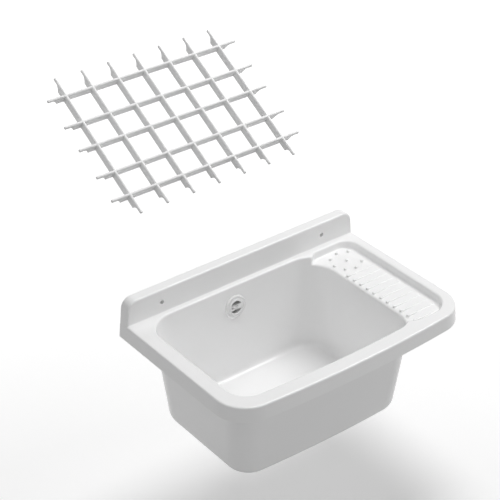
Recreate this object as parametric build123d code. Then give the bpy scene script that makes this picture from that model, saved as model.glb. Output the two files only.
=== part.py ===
from build123d import *
import math
import os

# Wall-mounted resin sink with draining ledge, overflow, waste, plug and lift-out grid.
# Frame: X to the right, Y into the wall, Z up; millimetres and degrees.
# Origin: midway between the two wall fixing holes, on the wall plane.

# Rim and apron
overall_width = 600.0
overall_depth = 400.0
bow_radius = 3000.0
apron_height = 33.0
apron_flare = 3.0
apron_corner = 72.0
rim_width = 34.0
rim_edge = 4.0
wall = 6.0

# Stiffening webs under the rim
web_thickness = 4.0
side_web_pitch = 120.0
front_web_pitch = 135.0
rear_web_spacing = 300.0

# Upstand at the wall and its two fixing holes
fixing_spacing = 420.0
fixing_height = 25.0
fixing_hole_radius = 4.5
fixing_boss_radius = 9.0
upstand_height = 55.0
upstand_depth = 24.0
upstand_end_draft = 5.6
upstand_corner = 24.0
upstand_edge = 4.0
upstand_foot = 3.0
upstand_set_in = 0.5

# Basin
basin_from_wall = 35.5
basin_depth = 211.0
basin_draft = 5.5
back_left_corner = 60.0
back_right_corner = 60.0
front_left_corner = 46.0
front_right_corner = 53.0
floor_fillet = 14.0
floor_thickness = 4.0
lip_edge = 4.0

# Draining ledge, its ribs and its pegs
ledge_rim = 23.0
ledge_width = 91.0
ledge_from_wall = 38.5
ledge_depth = 17.5
ledge_slope = 1.0
ledge_draft = 8.0
ledge_reach = 83.0
ledge_back_corner = 32.0
ledge_front_corner = 48.0
ledge_front_sweep = 110.0
ledge_front_step = 6.5
ledge_end = (13.0, 5.5)
ledge_end_angle = 37.0
ledge_end_corner = 12.0
ledge_foot = 4.0
ledge_seam = 5.0
rib_count = 11
rib_pitch = 20.7
rib_from_back = 96.3
rib_from_basin = 7.0
rib_length = 72.0
rib_radius = 2.4
rib_rise = 3.0
rib_fall = 0.9
peg_radius = 3.3
peg_rise = 5.0
peg_edge = 1.0

# Soap pegs, as distances from the basin's edge and from the ledge's back
soap_pegs = ((10, 49), (20, 73), (20, 25), (45, 49), (43, 82), (45, 15), (70, 24), (68, 72))

# Overflow trim, screw, seal and elbow
overflow_offset = 2.0
overflow_drop = 48.7
overflow_hole_radius = 16.0
rosette_radius = 26.0
rosette_flange = 4.0
rosette_height = 6.0
rosette_opening = 14.0
rosette_ring = 5.5
rosette_neck = 5.0
rosette_bar_width = 11.0
rosette_bar_depth = 7.0
chain_slot = (5.0, 3.2)
chain_slot_offset = 9.3
overflow_screw_radius = 2.4
overflow_screw_head = 4.5
overflow_screw_length = 20.5
overflow_head_height = 2.3
overflow_head_sink = 1.2
overflow_seal_thickness = 2.5
elbow_wall = 3.0
elbow_cup_radius = 18.0
elbow_depth = 25.5
elbow_flange_radius = 23.0
elbow_outlet = 36.0
elbow_post_radius = 5.0

# Overflow pipe and its two compression joints
pipe_radius = 9.5
pipe_wall = 1.5
pipe_bend = 30.0
pipe_insert = 12.0
socket_wall = 3.0
nut_wall = 2.8
nut_height = 14.0
nut_cap = 3.0
nut_ribs = 12
nut_rib_radius = 1.2
ring_height = 4.0

# Waste, its seals, its screw and its plug
waste_hole_radius = 24.0
waste_recess_radius = 36.0
waste_recess_depth = 4.0
waste_pad_radius = 40.0
waste_pad_drop = 4.0
waste_cup_gap = 1.4
waste_cup_depth = 10.0
waste_sheet = 1.0
waste_lip_height = 1.5
waste_slots = 8
waste_slot_radius = 3.2
waste_slot_circle = 14.0
top_seal_thickness = 1.5
lower_seal_thickness = 4.0
lower_seal_inset = 1.0
waste_flange_width = 14.0
waste_flange_thickness = 4.0
waste_body_wall = 4.0
waste_body_depth = 34.0
waste_inlet_reach = 52.0
waste_inlet_drop = 18.0
tail_radius = 23.9
tail_wall = 4.4
tail_length = 27.0
bridge_drop = 12.0
bridge_width = 4.0
bridge_height = 8.0
waste_screw_radius = 2.9
waste_screw_head = 5.0
waste_head_height = 3.0
plug_thickness = 8.0
plug_rim = 6.5
plug_edge = 1.0
plug_headroom = 1.0
plug_knob_radius = 6.0
plug_knob_height = 8.0

# Lift-out grid, shown taken out and held tilted above the sink
grid_end_gap = 11.5
grid_side_gap = 3.1
grid_rod_radius = 2.7
grid_rib = 3.9
grid_height = 14.8
grid_rod_free = 18.7
grid_shoulder = 13.8
grid_cross_bars = 7
grid_cross_pitch = 52.0
grid_wide_gap = 55.8
grid_narrow_gap = 47.4
grid_tilt = 30.5
grid_place = (-343.2, -282.5, 565.8)

# Clearances, on the radius
slip = 0.05
running = 0.1
socket_gap = 0.15
screw_gap = 0.3
cup_gap = 0.4
hole_gap = 0.5

# Overlap of shapes that are joined or cut
bite = 1.0

# Places and levels that follow from the sizes above
rim_z = -fixing_height
floor_z = rim_z - basin_depth
half_rim = overall_width / 2 - apron_flare
draft = math.tan(math.radians(basin_draft))
bow_y = bow_radius - overall_depth
basin_left = -half_rim + rim_width
ledge_right = half_rim - ledge_rim
basin_right = ledge_right - ledge_width
basin_front = -overall_depth + apron_flare + rim_width
basin_middle = (-basin_from_wall + basin_front) / 2

# Overflow, in a plane on the basin's back wall that faces into the basin
lean = math.radians(basin_draft)
overflow_x = (basin_left + basin_right) / 2 + overflow_offset
overflow_y = -basin_from_wall - overflow_drop * draft
overflow_z = rim_z - overflow_drop
overflow_plane = Plane(
    origin=(overflow_x, overflow_y, overflow_z),
    x_dir=(1, 0, 0),
    z_dir=(0, -math.cos(lean), math.sin(lean)),
)
wall_back = -wall * math.cos(lean)
seal_back = wall_back - overflow_seal_thickness
elbow_back = seal_back - elbow_depth
head_seat = rosette_height - overflow_head_height - overflow_head_sink
pipe_y = overflow_y - (seal_back + elbow_back) / 2 * math.cos(lean)
outlet_z = overflow_z - elbow_outlet
pipe_bore = pipe_radius - pipe_wall
socket_bore = pipe_radius + socket_gap
socket_radius = socket_bore + socket_wall
nut_bore = socket_radius + running

# Waste, on a vertical axis through the middle of the floor
waste_place = Pos(overflow_x, basin_middle, 0)
recess_z = floor_z - waste_recess_depth
seat_z = recess_z + top_seal_thickness
plate_z = seat_z + waste_lip_height - waste_cup_depth
pad_z = floor_z - floor_thickness - waste_pad_drop
flange_z = pad_z - lower_seal_thickness
body_low = flange_z - waste_body_depth
inlet_z = flange_z - waste_inlet_drop
inlet_y = basin_middle + waste_inlet_reach
lip_radius = waste_recess_radius - hole_gap
cup_radius = waste_hole_radius - waste_cup_gap
cup_bore = cup_radius - waste_sheet
body_bore = cup_radius + cup_gap
flange_radius = body_bore + waste_flange_width

# Grid, cut to the size of the basin's floor
grid_length = basin_right - basin_left - 2 * (basin_depth * draft + grid_end_gap)
grid_breadth = -basin_from_wall - basin_front - 2 * (basin_depth * draft + grid_side_gap)


def bowed_corner(side_x, sign, radius, bow):
    # Start, middle and end of a corner round between one side and the bowed front.
    x = side_x - sign * radius
    y = bow_y - math.sqrt((bow - radius) ** 2 - x**2)
    reach = math.hypot(x, y - bow_y)
    touch = (x * bow / reach, bow_y + (y - bow_y) * bow / reach)
    turn = math.atan2(touch[1] - y, touch[0] - x)
    half = (turn + (0 if sign > 0 else -math.pi)) / 2
    middle = (x + radius * math.cos(half), y + radius * math.sin(half))
    return (side_x, y), middle, touch


def square_corner(x, y, sign, radius):
    # Side end, middle and back end of a corner round between one side and the back.
    inset = radius * (1 - math.sqrt(0.5))
    return (x, y - radius), (x - sign * inset, y - inset), (x - sign * radius, y)


def bowed_outline(left, right, back, front, corners, z):
    # Outline with a bowed front; a back corner of zero radius stays square.
    back_left, back_right, front_left, front_right = corners
    bow = bow_y - front
    left_side, left_middle, left_touch = bowed_corner(left, -1, front_left, bow)
    right_side, right_middle, right_touch = bowed_corner(right, 1, front_right, bow)
    left_end, left_round, left_back = square_corner(left, back, -1, back_left)
    right_end, right_round, right_back = square_corner(right, back, 1, back_right)
    middle_x = (left_touch[0] + right_touch[0]) / 2
    middle_y = bow_y - math.sqrt(bow**2 - middle_x**2)
    with BuildSketch(Plane.XY.offset(z)) as outline:
        with BuildLine():
            Line(left_end, left_side)
            ThreePointArc(left_side, left_middle, left_touch)
            ThreePointArc(left_touch, (middle_x, middle_y), right_touch)
            ThreePointArc(right_touch, right_middle, right_side)
            Line(right_side, right_end)
            if back_right:
                ThreePointArc(right_end, right_round, right_back)
            Line(right_back, left_back)
            if back_left:
                ThreePointArc(left_back, left_round, left_end)
        make_face()
    return outline.sketch


def rim_outline(inset, back, z):
    side = overall_width / 2 - inset
    corner = apron_corner - inset
    return bowed_outline(-side, side, back, -overall_depth + inset, (0, 0, corner, corner), z)


def rim_block():
    top = rim_outline(apron_flare, 0, rim_z)
    bottom = rim_outline(0, 0, rim_z - apron_height)
    block = loft([bottom, top], ruled=True)
    rim = block.faces().sort_by(Axis.Z)[-1].edges()
    return fillet([e for e in rim if e.center().Y < -rim_edge], rim_edge)


def rim_hollow():
    # Space inside the apron, open below and at the wall.
    slope = apron_flare / apron_height
    top = rim_outline(wall + slope * (apron_height - wall), wall, rim_z - wall)
    bottom = rim_outline(wall - slope * wall, wall, rim_z - apron_height - wall)
    return loft([bottom, top], ruled=True)


def basin_block(grow, top_z, bottom_z):
    corners = (back_left_corner, back_right_corner, front_left_corner, front_right_corner)
    levels = []
    for z in (top_z, bottom_z):
        inset = (rim_z - z) * draft - grow
        levels.append(
            bowed_outline(
                basin_left + inset,
                basin_right - inset,
                -basin_from_wall - inset,
                basin_front + inset,
                [corner + grow for corner in corners],
                z,
            )
        )
    block = loft(levels, ruled=True)
    return fillet(block.faces().sort_by(Axis.Z)[0].edges(), floor_fillet + grow)


def ledge_block(grow, top_z):
    # Tapered recess open to the basin; its left side lies inside the basin.
    taper = math.tan(math.radians(ledge_draft))
    deep = ledge_depth + 3 * wall
    corners = (0, ledge_back_corner + grow, ledge_front_sweep + grow, ledge_front_corner + grow)
    levels = []
    for z in (top_z, rim_z - deep):
        inset = (rim_z - z) * taper - grow
        levels.append(
            bowed_outline(
                basin_right - ledge_reach,
                ledge_right - inset,
                -ledge_from_wall - inset,
                basin_front - ledge_front_step + inset,
                corners,
                z,
            )
        )
    block = loft(levels, ruled=True)
    floor = Pos(basin_right, basin_middle, rim_z - ledge_depth - grow) * Rot(0, -ledge_slope, 0)
    below = (Align.CENTER, Align.CENTER, Align.MAX)
    block -= floor * Box(overall_width, overall_depth, deep, align=below)
    end = Pos(basin_right - ledge_end[0], -ledge_from_wall - ledge_end[1], rim_z)
    end *= Rot(0, 0, ledge_end_angle) * Pos(0, grow, 0)
    beyond = (Align.CENTER, Align.MIN, Align.CENTER)
    block -= end * Box(overall_width, overall_depth, 4 * deep, align=beyond)
    near_end = (basin_right, -ledge_from_wall + grow, rim_z - ledge_depth / 2)
    upright = block.edges().filter_by(lambda e: abs(e.tangent_at(0.5).Z) > 0.9)
    block = fillet(upright.sort_by_distance(near_end)[0], ledge_end_corner + grow)
    return fillet(block.faces().sort_by(Axis.Z)[0].edges(), ledge_foot + grow)


def peg(from_basin, from_back):
    rise = math.tan(math.radians(ledge_slope))
    foot = rim_z - ledge_depth + from_basin * rise
    post = rod(peg_radius, foot - wall / 2, foot + peg_rise)
    post = fillet(post.edges().group_by(Axis.Z)[-1], peg_edge)
    return Pos(basin_right + from_basin, -ledge_from_wall - from_back, 0) * post


def ledge_texture():
    # Ribs that run from a peg near the basin and fade into the ledge, and a group of pegs for soap.
    rise = math.tan(math.radians(ledge_slope))
    axis_z = rim_z - ledge_depth + rib_from_basin * rise + rib_rise - rib_radius
    pieces = [peg(*place) for place in soap_pegs]
    for i in range(rib_count):
        from_back = rib_from_back + i * rib_pitch
        start = Pos(basin_right + rib_from_basin, -ledge_from_wall - from_back, axis_z)
        pieces.append(peg(rib_from_basin, from_back))
        pieces.append(start * Rot(0, 90 + rib_fall, 0) * rod(rib_radius, 0, rib_length))
    return pieces


def upstand():
    slope = math.tan(math.radians(upstand_end_draft))
    half = half_rim - upstand_set_in
    top = rim_z + upstand_height
    root = rim_z - wall + bite
    wide = half + (rim_z - root) * slope
    narrow = half - upstand_height * slope
    with BuildSketch(Plane.XZ) as front:
        with BuildLine():
            Polyline((-wide, root), (wide, root), (narrow, top), (-narrow, top), close=True)
        make_face()
        fillet(front.vertices().group_by(Axis.Y)[-1], upstand_corner)
    slab = extrude(front.sketch, upstand_depth)
    face = slab.faces().sort_by(Axis.Y)[0]
    return fillet([e for e in face.edges() if e.center().Z > root + bite], upstand_edge)


def upstand_cove():
    # Concave foot between the upstand and the rim.
    inset = upstand_foot * (1 - math.sqrt(0.5))
    face = -upstand_depth
    toe = face - upstand_foot
    top = rim_z + upstand_foot
    low = rim_z - bite
    with BuildSketch(Plane.YZ) as profile:
        with BuildLine():
            Polyline((face, top), (face + bite, top), (face + bite, low), (toe, low), (toe, rim_z))
            ThreePointArc((toe, rim_z), (face - inset, rim_z + inset), (face, top))
        make_face()
    return extrude(profile.sketch, half_rim - rim_edge - bite, both=True)


def upstand_hollow():
    # Space inside the upstand, open to the wall, with a web and a boss at each fixing.
    slope = math.tan(math.radians(upstand_end_draft))
    half = half_rim - upstand_set_in - upstand_height * slope - wall
    depth = upstand_depth - wall
    height = upstand_height - wall
    floor = (Align.CENTER, Align.MAX, Align.MIN)
    hollow = Pos(0, bite, rim_z) * Box(2 * half, depth + bite, height, align=floor)
    corners = hollow.edges().filter_by(Axis.Y).group_by(Axis.Z)[-1]
    hollow = fillet(corners, upstand_corner - wall)
    for x in (-fixing_spacing / 2, 0, fixing_spacing / 2):
        hollow -= Pos(x, wall, rim_z) * Box(web_thickness, upstand_depth + wall, height, align=floor)
    for x in (-fixing_spacing / 2, fixing_spacing / 2):
        hollow -= Pos(x, 0, 0) * Rot(90, 0, 0) * Cylinder(fixing_boss_radius, 4 * depth)
    return hollow


def stiffening_webs(block):
    # Upright webs between the apron and the basin, each reaching into the basin's wall.
    low = rim_z - apron_height
    reach = rim_width + 2 * wall
    height = apron_height - wall + bite
    webs = []
    for y in (basin_middle - side_web_pitch / 2, basin_middle + side_web_pitch / 2):
        from_left = (Align.MIN, Align.CENTER, Align.MIN)
        from_right = (Align.MAX, Align.CENTER, Align.MIN)
        left = Pos(-overall_width / 2, y, low)
        right = Pos(overall_width / 2, y, low)
        webs.append(left * Box(reach, web_thickness, height, align=from_left))
        webs.append(right * Box(reach + ledge_width, web_thickness, height, align=from_right))
    from_front = (Align.CENTER, Align.MIN, Align.MIN)
    from_wall = (Align.CENTER, Align.MAX, Align.MIN)
    for step in (-1, 0, 1):
        front = Pos(overflow_x + step * front_web_pitch, -overall_depth, low)
        webs.append(front * Box(web_thickness, reach + wall, height, align=from_front))
    for x in (overflow_x - rear_web_spacing / 2, overflow_x + rear_web_spacing / 2):
        rear = Pos(x, 0, low)
        webs.append(rear * Box(web_thickness, basin_from_wall + wall, height, align=from_wall))
    return [web & block for web in webs]


def sink_opening():
    basin = basin_block(0, rim_z + bite, floor_z)
    ledge = ledge_block(0, rim_z + bite)
    opening = basin + ledge
    return fillet(new_edges(basin, ledge, combined=opening), ledge_seam)


def sink_body():
    block = rim_block()
    shell = block - rim_hollow() + upstand() + upstand_cove()
    shell += basin_block(wall, rim_z - bite, floor_z - floor_thickness)
    shell += ledge_block(wall, rim_z - bite) & block
    shell += stiffening_webs(block)
    shell += waste_place * rod(waste_pad_radius, pad_z, floor_z)
    shell -= upstand_hollow()
    opening = sink_opening()
    body = shell - opening
    cut = new_edges(shell, opening, combined=body)
    body = fillet([e for e in cut if abs(e.center().Z - rim_z) < slip], lip_edge)
    body += ledge_texture()
    for x in (-fixing_spacing / 2, fixing_spacing / 2):
        body -= Pos(x, 0, 0) * Rot(90, 0, 0) * Cylinder(fixing_hole_radius, 4 * upstand_depth)
    body -= overflow_plane.location * Cylinder(overflow_hole_radius, 4 * wall)
    body -= waste_place * rod(waste_recess_radius, recess_z, floor_z + bite)
    body -= waste_place * rod(waste_hole_radius, pad_z - bite, floor_z)
    return body


def rod(radius, low, high):
    return Pos(0, 0, low) * Cylinder(radius, high - low, align=(Align.CENTER, Align.CENTER, Align.MIN))


def tube(radius, bore, low, high):
    return rod(radius, low, high) - rod(bore, low, high)


def turned(*points):
    # Round piece from its half section, given as radius and height.
    with BuildSketch(Plane.XZ) as section:
        with BuildLine():
            Polyline(*points, close=True)
        make_face()
    return revolve(section.sketch, Axis.Z)


def slotted_head(radius, low, height):
    head = rod(radius, low, low + height)
    head = fillet(head.edges().group_by(Axis.Z)[-1], height / 2)
    slot = Box(radius / 4, 3 * radius, height, align=(Align.CENTER, Align.CENTER, Align.MIN))
    return head - Pos(0, 0, low + 0.6 * height) * slot


def overflow_rosette():
    neck = overflow_hole_radius - cup_gap
    ring = rosette_opening + rosette_ring
    chamfer = rosette_height - rosette_flange
    piece = turned(
        (rosette_opening, -rosette_neck),
        (neck, -rosette_neck),
        (neck, 0),
        (rosette_radius, 0),
        (rosette_radius, rosette_flange / 2),
        (rosette_radius - rosette_flange / 2, rosette_flange),
        (ring, rosette_flange),
        (ring - chamfer, rosette_height),
        (rosette_opening + chamfer / 2, rosette_height),
        (rosette_opening, rosette_height - chamfer / 2),
    )
    top = rosette_height - chamfer / 2
    hang = (Align.CENTER, Align.CENTER, Align.MAX)
    bar = Box(3 * rosette_opening, rosette_bar_width, rosette_bar_depth, align=hang)
    piece += Pos(0, 0, top) * bar & rod(rosette_opening + bite, -rosette_neck, top)
    piece -= Pos(-chain_slot_offset, 0, 0) * Box(*chain_slot, 4 * rosette_bar_depth)
    piece -= rod(overflow_screw_head + hole_gap, head_seat, rosette_height)
    piece -= rod(overflow_screw_radius + screw_gap, -2 * rosette_neck, rosette_height)
    return overflow_plane.location * piece


def overflow_screw():
    head = slotted_head(overflow_screw_head, head_seat, overflow_head_height)
    shank = rod(overflow_screw_radius, head_seat - overflow_screw_length, head_seat)
    return overflow_plane.location * (head + shank)


def overflow_seal():
    ring = tube(elbow_flange_radius, overflow_hole_radius + hole_gap, seal_back, wall_back)
    return overflow_plane.location * ring


def overflow_elbow():
    outlet = Pos(overflow_x, pipe_y, 0)
    cup = rod(elbow_flange_radius, seal_back - elbow_wall, seal_back)
    cup += rod(elbow_cup_radius, elbow_back, seal_back)
    inside = rod(elbow_cup_radius - elbow_wall, elbow_back + elbow_wall, seal_back + bite)
    post = rod(elbow_post_radius, elbow_back + bite, seal_back)
    post -= rod(overflow_screw_radius + slip, head_seat - overflow_screw_length - bite, 0)
    elbow = overflow_plane.location * cup + outlet * rod(socket_radius, outlet_z, overflow_z)
    elbow -= overflow_plane.location * inside
    elbow -= outlet * rod(pipe_bore, outlet_z, overflow_z)
    elbow -= outlet * rod(socket_bore, outlet_z, outlet_z + pipe_insert)
    return elbow + overflow_plane.location * post


def compression_nut():
    # The axis runs the way the pipe leaves, and the socket ends at zero.
    top = ring_height + nut_cap
    low = top - nut_height
    nut = rod(nut_bore + nut_wall, low, top)
    nut -= rod(nut_bore, low, ring_height)
    nut -= rod(pipe_radius + screw_gap, low, top)
    grip = rod(nut_rib_radius, low + nut_rib_radius, top - nut_rib_radius)
    return nut + PolarLocations(nut_bore + nut_wall, nut_ribs) * grip


def sealing_ring():
    return tube(socket_radius - running, pipe_radius + slip, 0, ring_height)


upper_joint = Pos(overflow_x, pipe_y, outlet_z) * Rot(180, 0, 0)
lower_joint = Pos(overflow_x, inlet_y, inlet_z) * Rot(-90, 0, 0)


def overflow_pipe():
    # Down from the elbow, round one bend, then forward to the waste.
    inset = pipe_bend * (1 - math.sqrt(0.5))
    top = (overflow_x, pipe_y, outlet_z + pipe_insert)
    bend_start = (overflow_x, pipe_y, inlet_z + pipe_bend)
    bend_middle = (overflow_x, pipe_y - inset, inlet_z + inset)
    bend_end = (overflow_x, pipe_y - pipe_bend, inlet_z)
    end = (overflow_x, inlet_y - pipe_insert, inlet_z)
    with BuildLine() as path:
        Line(top, bend_start)
        ThreePointArc(bend_start, bend_middle, bend_end)
        Line(bend_end, end)
    with BuildSketch(Plane(top, z_dir=(0, 0, -1))) as section:
        Circle(pipe_radius)
        Circle(pipe_bore, mode=Mode.SUBTRACT)
    return sweep(section.sketch, path.line)


def waste_flange():
    # Strainer cup with a lip that sits in the floor's recess.
    lip_top = seat_z + waste_lip_height
    bevel = waste_lip_height / 2
    piece = turned(
        (0, plate_z - waste_sheet),
        (cup_radius, plate_z - waste_sheet),
        (cup_radius, seat_z),
        (lip_radius, seat_z),
        (lip_radius - bevel, lip_top),
        (cup_bore + bevel, lip_top),
        (cup_bore, lip_top - bevel),
        (cup_bore, plate_z),
        (0, plate_z),
    )
    slot = rod(waste_slot_radius, plate_z - 2 * waste_sheet, plate_z + waste_sheet)
    piece -= PolarLocations(waste_slot_circle, waste_slots) * slot
    piece -= rod(waste_screw_radius + screw_gap, plate_z - 2 * waste_sheet, plate_z + waste_sheet)
    return waste_place * piece


def waste_top_seal():
    ring = tube(lip_radius - waste_lip_height, waste_hole_radius + hole_gap, recess_z, seat_z)
    return waste_place * ring


def waste_bottom_seal():
    ring = tube(flange_radius - lower_seal_inset, waste_hole_radius + hole_gap, flange_z, pad_z)
    return waste_place * ring


def waste_body():
    # Lower half of the waste: flange, bowl, bridge for the screw, overflow inlet and tail.
    outside = body_bore + waste_body_wall
    under = flange_z - waste_flange_thickness
    bowl_floor = body_low + waste_body_wall
    tail_bore = tail_radius - tail_wall
    body = turned(
        (body_bore, flange_z),
        (flange_radius, flange_z),
        (flange_radius, under),
        (outside, under),
        (outside, body_low),
        (tail_radius, body_low - outside + tail_radius),
        (tail_radius, body_low - tail_length),
        (tail_bore, body_low - tail_length),
        (tail_bore, bowl_floor),
        (body_bore, bowl_floor),
    )
    inlet = Pos(0, 0, inlet_z) * Rot(-90, 0, 0)
    body += inlet * rod(socket_radius, body_bore + bite, waste_inlet_reach)
    bridge = Pos(0, 0, flange_z - bridge_drop)
    spoke = Box(2 * body_bore, bridge_width, bridge_height)
    hub = Cylinder(waste_screw_radius + bridge_width, bridge_height)
    body += bridge * (spoke + Rot(0, 0, 90) * spoke + hub)
    body -= bridge * Cylinder(waste_screw_radius + slip, 2 * bridge_height)
    body -= inlet * rod(pipe_bore, body_bore - bite, waste_inlet_reach)
    body -= inlet * rod(socket_bore, waste_inlet_reach - pipe_insert, waste_inlet_reach)
    return waste_place * body


def waste_screw():
    head = slotted_head(waste_screw_head, plate_z, waste_head_height)
    shank = rod(waste_screw_radius, flange_z - bridge_drop - bridge_height, plate_z)
    return waste_place * (head + shank)


def waste_plug():
    # Hollow underneath, over the screw's head, with a knob to lift it by.
    radius = cup_bore - running
    hollow = plate_z + waste_head_height + plug_headroom
    top = plate_z + plug_thickness
    knob_top = top + plug_knob_height
    neck = plug_knob_radius / 2
    piece = turned(
        (0, hollow),
        (radius - plug_rim, hollow),
        (radius - plug_rim, plate_z),
        (radius, plate_z),
        (radius, top - plug_edge),
        (radius - plug_edge, top),
        (neck, top),
        (neck, top + neck),
        (plug_knob_radius, top + neck + plug_edge),
        (plug_knob_radius, knob_top - plug_edge),
        (plug_knob_radius - plug_edge, knob_top),
        (0, knob_top),
    )
    return waste_place * piece


def grid_bar(length):
    # Round rod over a flat rib; the rod runs on past the rib at both ends.
    half = length / 2
    low = grid_rod_radius - grid_height
    foot = half - grid_rod_free
    tip = foot + grid_shoulder
    knee = (foot + 0.3 * grid_shoulder, 0.4 * low)
    bar = Rot(0, 90, 0) * Cylinder(grid_rod_radius, length)
    bar = fillet(bar.edges().filter_by(GeomType.CIRCLE), grid_rod_radius / 2)
    with BuildSketch(Plane.XZ) as side:
        with BuildLine():
            Line((-tip, 0), (tip, 0))
            ThreePointArc((tip, 0), knee, (foot, low))
            Line((foot, low), (-foot, low))
            ThreePointArc((-foot, low), (-knee[0], knee[1]), (-tip, 0))
        make_face()
    return bar + extrude(side.sketch, grid_rib / 2, both=True)


def drain_grid():
    cross_bar = Rot(0, 0, 90) * grid_bar(grid_breadth)
    long_bar = grid_bar(grid_length)
    grid = GridLocations(grid_cross_pitch, 1, grid_cross_bars, 1) * cross_bar
    y = grid_wide_gap + grid_narrow_gap
    bars = list(grid)
    for gap in (grid_wide_gap, grid_narrow_gap, grid_wide_gap, grid_narrow_gap, 0):
        bars.append(Pos(0, y, 0) * long_bar)
        y -= gap
    return Pos(*grid_place) * Rot(grid_tilt, 0, 0) * (bars[0] + bars[1:])


nodes = {
    "sink_body": sink_body(),
    "overflow_rosette": overflow_rosette(),
    "overflow_screw": overflow_screw(),
    "overflow_seal": overflow_seal(),
    "overflow_elbow": overflow_elbow(),
    "overflow_upper_nut": upper_joint * compression_nut(),
    "overflow_upper_ring": upper_joint * sealing_ring(),
    "overflow_pipe": overflow_pipe(),
    "overflow_lower_ring": lower_joint * sealing_ring(),
    "overflow_lower_nut": lower_joint * compression_nut(),
    "waste_flange": waste_flange(),
    "waste_top_seal": waste_top_seal(),
    "waste_bottom_seal": waste_bottom_seal(),
    "waste_body": waste_body(),
    "waste_screw": waste_screw(),
    "waste_plug": waste_plug(),
    "drain_grid": drain_grid(),
}

os.makedirs("parts", exist_ok=True)
for name, shape in nodes.items():
    export_step(shape, f"parts/{name}.step")
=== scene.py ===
import math

import bmesh
import bpy
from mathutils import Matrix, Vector

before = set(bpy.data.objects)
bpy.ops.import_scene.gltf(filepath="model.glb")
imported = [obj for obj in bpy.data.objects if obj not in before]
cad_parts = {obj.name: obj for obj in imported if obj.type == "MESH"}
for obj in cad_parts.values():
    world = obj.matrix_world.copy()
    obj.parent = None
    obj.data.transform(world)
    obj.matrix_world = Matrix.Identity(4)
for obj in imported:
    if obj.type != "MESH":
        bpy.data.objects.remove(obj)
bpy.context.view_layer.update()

# Lengths are in metres in the part's own frame, angles in degrees, power in watts.

# Camera, found from the photograph; lens and sensor in millimetres
camera_target = Vector((-0.0827, -0.1485, 0.1368))
camera_azimuth = 37.92
camera_elevation = 32.24
camera_distance = 3.056
camera_lens = 112.5
camera_sensor = 36.0
camera_reach = 100.0

# Floor: a pale patch that brightens to white on all sides, by a painted glow.
# Near and far are each a distance from the patch's middle and the painted glow added
# there.
floor_z = -0.50
floor_half = 30.0
floor_tone = 0.86
floor_bounce = 0.90
patch_middle = (-0.41, -0.57)
floor_near = (0.82, 0.42)
floor_far = (3.1, 1.0)

# Even light from all round, and the white seen behind the floor
sky_strength = 0.12
backdrop_strength = 1.0

# Lamps, each with its place, width and power, all turned to lamp_aim.
# Four light the part alone, and one lights the floor, where the part's shadow falls.
lamp_aim = Vector((0.0, -0.2, 0.0))
part_lamps = {
    "right": ((1.45, -0.25, 2.82), 2.4, 74.0),
    "front": ((0.54, -3.24, 0.78), 3.4, 20.0),
    "left": ((-2.62, -0.2, 1.79), 3.4, 22.0),
    "back": ((0.3, 3.0, 0.90), 3.4, 7.0),
}
floor_lamps = {"overhead": ((0.44, 0.14, 3.0), 1.45, 60.0)}

# Moulded plastic: sizes of its patterns, stray of tone and gloss, skin texture
cloud_scale = 9.0
cloud_dark = 0.985
cloud_light = 1.01
flow_scale = 38.0
flow_roughness = 0.6
gloss_below = 0.04
gloss_above = 0.05
skin_bump = {"Strength": 0.05, "Distance": 0.0003}

# Turned steel: sizes of its rings and smears, tones, gloss and ring texture
waste_axis = (-0.038, -0.19925, 0.0)
ring_scale = 1400.0
smear_scale = 60.0
steel_dark = (0.56, 0.57, 0.58, 1)
steel_light = (0.70, 0.71, 0.72, 1)
steel_gloss = {"To Min": 0.20, "To Max": 0.36}
ring_bump = {"Strength": 0.08, "Distance": 0.0002}

# Rubber: sizes of its bloom and grain, gloss and grain texture
bloom_scale = 55.0
bloom_roughness = 0.65
grain_scale = 1600.0
rubber_ior = 1.45
rubber_gloss = {"To Min": 0.55, "To Max": 0.75}
grain_bump = {"Strength": 0.15, "Distance": 0.0002}


def new_material(name):
    material = bpy.data.materials.new(name)
    material.use_nodes = True
    nodes = material.node_tree.nodes
    nodes.clear()
    return material, nodes, material.node_tree.links


def add(nodes, kind, inputs=None, **settings):
    node = nodes.new(kind)
    for key, value in settings.items():
        setattr(node, key, value)
    for key, value in (inputs or {}).items():
        node.inputs[key].default_value = value
    return node


def noise(nodes, scale, detail, roughness=0.5, **settings):
    inputs = {"Scale": scale, "Detail": detail, "Roughness": roughness}
    return add(nodes, "ShaderNodeTexNoise", inputs, **settings)


def blend(nodes, low, high):
    return add(nodes, "ShaderNodeMix", {"A": low, "B": high}, data_type="RGBA")


def grey(tone, warmth=1.0):
    return (tone, tone, tone * warmth, 1.0)


def shade(colour, factor):
    return (*[min(1.0, c * factor) for c in colour[:3]], 1.0)


def surface(nodes, links, tone, shine, bump, inputs):
    # Shader with its colour, gloss and texture joined to it.
    shader = add(nodes, "ShaderNodeBsdfPrincipled", inputs)
    out = add(nodes, "ShaderNodeOutputMaterial")
    links.new(tone.outputs["Result"], shader.inputs["Base Color"])
    links.new(shine.outputs["Result"], shader.inputs["Roughness"])
    links.new(bump.outputs["Normal"], shader.inputs["Normal"])
    links.new(shader.outputs["BSDF"], out.inputs["Surface"])


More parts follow.
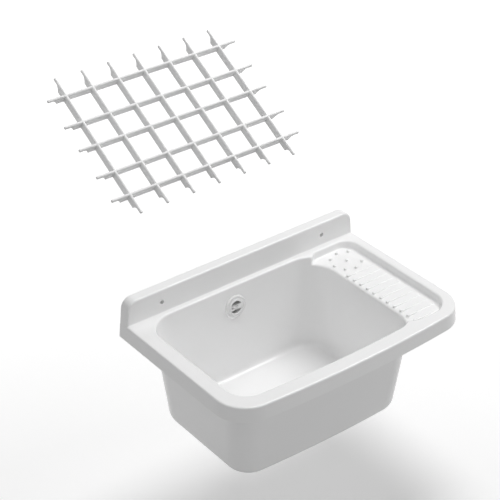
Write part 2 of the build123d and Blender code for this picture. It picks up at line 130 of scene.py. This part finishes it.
def moulded_plastic(name, colour, roughness, grain, ior=1.5, coat=0.0):
    # Smooth moulded plastic: faint cloudy tone, uneven gloss, faint skin texture.
    material, nodes, links = new_material(name)
    place = add(nodes, "ShaderNodeTexCoord")
    cloud = noise(nodes, cloud_scale, 3.0)
    tone = blend(nodes, shade(colour, cloud_dark), shade(colour, cloud_light))
    flow = noise(nodes, flow_scale, 4.0, flow_roughness)
    gloss = {"To Min": roughness - gloss_below, "To Max": roughness + gloss_above}
    shine = add(nodes, "ShaderNodeMapRange", gloss)
    skin = noise(nodes, grain, 2.0)
    bump = add(nodes, "ShaderNodeBump", skin_bump)
    for texture in (cloud, flow, skin):
        links.new(place.outputs["Object"], texture.inputs["Vector"])
    links.new(cloud.outputs["Fac"], tone.inputs["Factor"])
    links.new(flow.outputs["Fac"], shine.inputs["Value"])
    links.new(skin.outputs["Fac"], bump.inputs["Height"])
    surface(nodes, links, tone, shine, bump, {"IOR": ior, "Coat Weight": coat})
    return material


def turned_steel(name, axis):
    # Fine rings left by turning and brushing, about an upright axis.
    material, nodes, links = new_material(name)
    place = add(nodes, "ShaderNodeTexCoord")
    shift = add(nodes, "ShaderNodeVectorMath", {1: axis}, operation="SUBTRACT")
    flat = add(nodes, "ShaderNodeVectorMath", {1: (1, 1, 0)}, operation="MULTIPLY")
    reach = add(nodes, "ShaderNodeVectorMath", operation="LENGTH")
    rings = noise(nodes, ring_scale, 3.0, noise_dimensions="1D")
    smear = noise(nodes, smear_scale, 3.0)
    tone = blend(nodes, steel_dark, steel_light)
    shine = add(nodes, "ShaderNodeMapRange", steel_gloss)
    bump = add(nodes, "ShaderNodeBump", ring_bump)
    links.new(place.outputs["Object"], shift.inputs[0])
    links.new(place.outputs["Object"], smear.inputs["Vector"])
    links.new(shift.outputs["Vector"], flat.inputs[0])
    links.new(flat.outputs["Vector"], reach.inputs[0])
    links.new(reach.outputs["Value"], rings.inputs["W"])
    links.new(rings.outputs["Fac"], tone.inputs["Factor"])
    links.new(smear.outputs["Fac"], shine.inputs["Value"])
    links.new(rings.outputs["Fac"], bump.inputs["Height"])
    surface(nodes, links, tone, shine, bump, {"Metallic": 1.0})
    return material


def matt_rubber(name, tone_low, tone_high):
    # Dark rubber with a fine grain and a faint bloom.
    material, nodes, links = new_material(name)
    place = add(nodes, "ShaderNodeTexCoord")
    bloom = noise(nodes, bloom_scale, 5.0, bloom_roughness)
    tone = blend(nodes, grey(tone_low), grey(tone_high))
    shine = add(nodes, "ShaderNodeMapRange", rubber_gloss)
    grain = noise(nodes, grain_scale, 2.0)
    bump = add(nodes, "ShaderNodeBump", grain_bump)
    for texture in (bloom, grain):
        links.new(place.outputs["Object"], texture.inputs["Vector"])
    links.new(bloom.outputs["Fac"], tone.inputs["Factor"])
    links.new(bloom.outputs["Fac"], shine.inputs["Value"])
    links.new(grain.outputs["Fac"], bump.inputs["Height"])
    surface(nodes, links, tone, shine, bump, {"IOR": rubber_ior})
    return material


def dress(material, *names):
    for name in names:
        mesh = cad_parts[name].data
        mesh.materials.clear()
        mesh.materials.append(material)


resin = moulded_plastic(
    "white_resin", grey(0.96), roughness=0.20, grain=900.0, ior=1.52, coat=0.10
)
grid_plastic = moulded_plastic(
    "grid_plastic", grey(0.90), roughness=0.36, grain=1100.0
)
trim_plastic = moulded_plastic(
    "white_trim", grey(0.88), roughness=0.20, grain=1300.0, coat=0.4
)
pipe_plastic = moulded_plastic(
    "pipe_plastic", grey(0.80, warmth=0.985), roughness=0.44, grain=700.0
)
waste_steel = turned_steel("waste_steel", waste_axis)
seal_rubber = matt_rubber("seal_rubber", tone_low=0.022, tone_high=0.040)
plug_rubber = matt_rubber("plug_rubber", tone_low=0.030, tone_high=0.055)

dress(resin, "sink_body")
dress(grid_plastic, "drain_grid")
dress(trim_plastic, "overflow_rosette", "overflow_screw")
dress(waste_steel, "waste_flange", "waste_screw")
dress(seal_rubber, "overflow_seal", "overflow_upper_ring", "overflow_lower_ring")
dress(seal_rubber, "waste_top_seal", "waste_bottom_seal")
dress(plug_rubber, "waste_plug")
dress(pipe_plastic, "overflow_elbow", "overflow_pipe", "overflow_upper_nut")
dress(pipe_plastic, "overflow_lower_nut", "waste_body")


def seen_ray(nodes, links):
    # One for rays that show the stage: from the camera, a reflection or a view through.
    path = add(nodes, "ShaderNodeLightPath")
    direct = add(nodes, "ShaderNodeMath", operation="ADD")
    any_ray = add(nodes, "ShaderNodeMath", operation="ADD", use_clamp=True)
    links.new(path.outputs["Is Camera Ray"], direct.inputs[0])
    links.new(path.outputs["Is Glossy Ray"], direct.inputs[1])
    links.new(direct.outputs["Value"], any_ray.inputs[0])
    links.new(path.outputs["Is Transmission Ray"], any_ray.inputs[1])
    return any_ray.outputs["Value"]


def pale_glowing_floor():
    # Seen rays meet the floor with its painted glow added, and all others a plain pale
    # floor.
    material, nodes, links = new_material("pale_glowing_floor")
    shown = add(nodes, "ShaderNodeBsdfDiffuse", {"Color": grey(floor_tone)})
    hidden = add(nodes, "ShaderNodeBsdfDiffuse", {"Color": grey(floor_bounce)})
    place = add(nodes, "ShaderNodeTexCoord")
    middle = (*patch_middle, floor_z)
    away = add(nodes, "ShaderNodeVectorMath", {1: middle}, operation="DISTANCE")
    (near, near_glow), (far, far_glow) = floor_near, floor_far
    reach = {"From Min": near, "From Max": far}
    glow_strengths = {"To Min": near_glow, "To Max": far_glow}
    fade = add(nodes, "ShaderNodeMapRange", {**reach, **glow_strengths})
    # Painted light: the floor glows, least near the patch's middle and up to white far
    # from it.
    painted_glow = add(nodes, "ShaderNodeEmission")
    floor_with_glow = add(nodes, "ShaderNodeAddShader")
    mixed = add(nodes, "ShaderNodeMixShader")
    out = add(nodes, "ShaderNodeOutputMaterial")
    links.new(place.outputs["Object"], away.inputs[0])
    links.new(away.outputs["Value"], fade.inputs["Value"])
    links.new(fade.outputs["Result"], painted_glow.inputs["Strength"])
    links.new(shown.outputs["BSDF"], floor_with_glow.inputs[0])
    links.new(painted_glow.outputs["Emission"], floor_with_glow.inputs[1])
    links.new(seen_ray(nodes, links), mixed.inputs["Fac"])
    links.new(hidden.outputs["BSDF"], mixed.inputs[1])
    links.new(floor_with_glow.outputs["Shader"], mixed.inputs[2])
    links.new(mixed.outputs["Shader"], out.inputs["Surface"])
    return material


def stage_floor():
    shape = bmesh.new()
    bmesh.ops.create_grid(shape, x_segments=1, y_segments=1, size=floor_half)
    bmesh.ops.translate(shape, verts=shape.verts, vec=(0.0, 0.0, floor_z))
    mesh = bpy.data.meshes.new("floor")
    shape.to_mesh(mesh)
    shape.free()
    mesh.materials.append(pale_glowing_floor())
    floor = bpy.data.objects.new("floor", mesh)
    bpy.context.collection.objects.link(floor)
    return floor


def sky():
    world = bpy.data.worlds.new("studio")
    bpy.context.scene.world = world
    world.use_nodes = True
    nodes = world.node_tree.nodes
    links = world.node_tree.links
    nodes.clear()
    white = {"Color": grey(1.0)}
    soft = add(nodes, "ShaderNodeBackground", {**white, "Strength": sky_strength})
    seen = add(nodes, "ShaderNodeBackground", {**white, "Strength": backdrop_strength})
    mixed = add(nodes, "ShaderNodeMixShader")
    out = add(nodes, "ShaderNodeOutputWorld")
    links.new(seen_ray(nodes, links), mixed.inputs["Fac"])
    links.new(soft.outputs["Background"], mixed.inputs[1])
    links.new(seen.outputs["Background"], mixed.inputs[2])
    links.new(mixed.outputs["Shader"], out.inputs["Surface"])


def soft_lamp(name, place, size, power, lit):
    # Round lamp that lights only the things it is given.
    light = bpy.data.lights.new(name, "AREA")
    light.shape = "DISK"
    light.size = size
    light.energy = power
    lamp = bpy.data.objects.new(name, light)
    lamp.location = place
    turn = (lamp_aim - Vector(place)).to_track_quat("-Z", "Y")
    lamp.rotation_euler = turn.to_euler()
    bpy.context.collection.objects.link(lamp)
    receivers = bpy.data.collections.new(f"lit_by_{name}")
    for thing in lit:
        receivers.objects.link(thing)
    lamp.light_linking.receiver_collection = receivers


def photo_camera():
    azimuth = math.radians(camera_azimuth)
    elevation = math.radians(camera_elevation)
    back = Vector(
        (
            -math.sin(azimuth) * math.cos(elevation),
            -math.cos(azimuth) * math.cos(elevation),
            math.sin(elevation),
        )
    )
    data = bpy.data.cameras.new("camera")
    data.sensor_width = camera_sensor
    data.lens = camera_lens
    data.clip_end = camera_reach
    camera = bpy.data.objects.new("camera", data)
    camera.location = camera_target + back * camera_distance
    camera.rotation_euler = back.to_track_quat("Z", "Y").to_euler()
    bpy.context.collection.objects.link(camera)
    bpy.context.scene.camera = camera


part = list(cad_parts.values())
floor = stage_floor()
sky()
for name, (place, size, power) in part_lamps.items():
    soft_lamp(name, place, size, power, part)
for name, (place, size, power) in floor_lamps.items():
    soft_lamp(name, place, size, power, [floor])
photo_camera()

bpy.context.scene.view_settings.view_transform = "Standard"
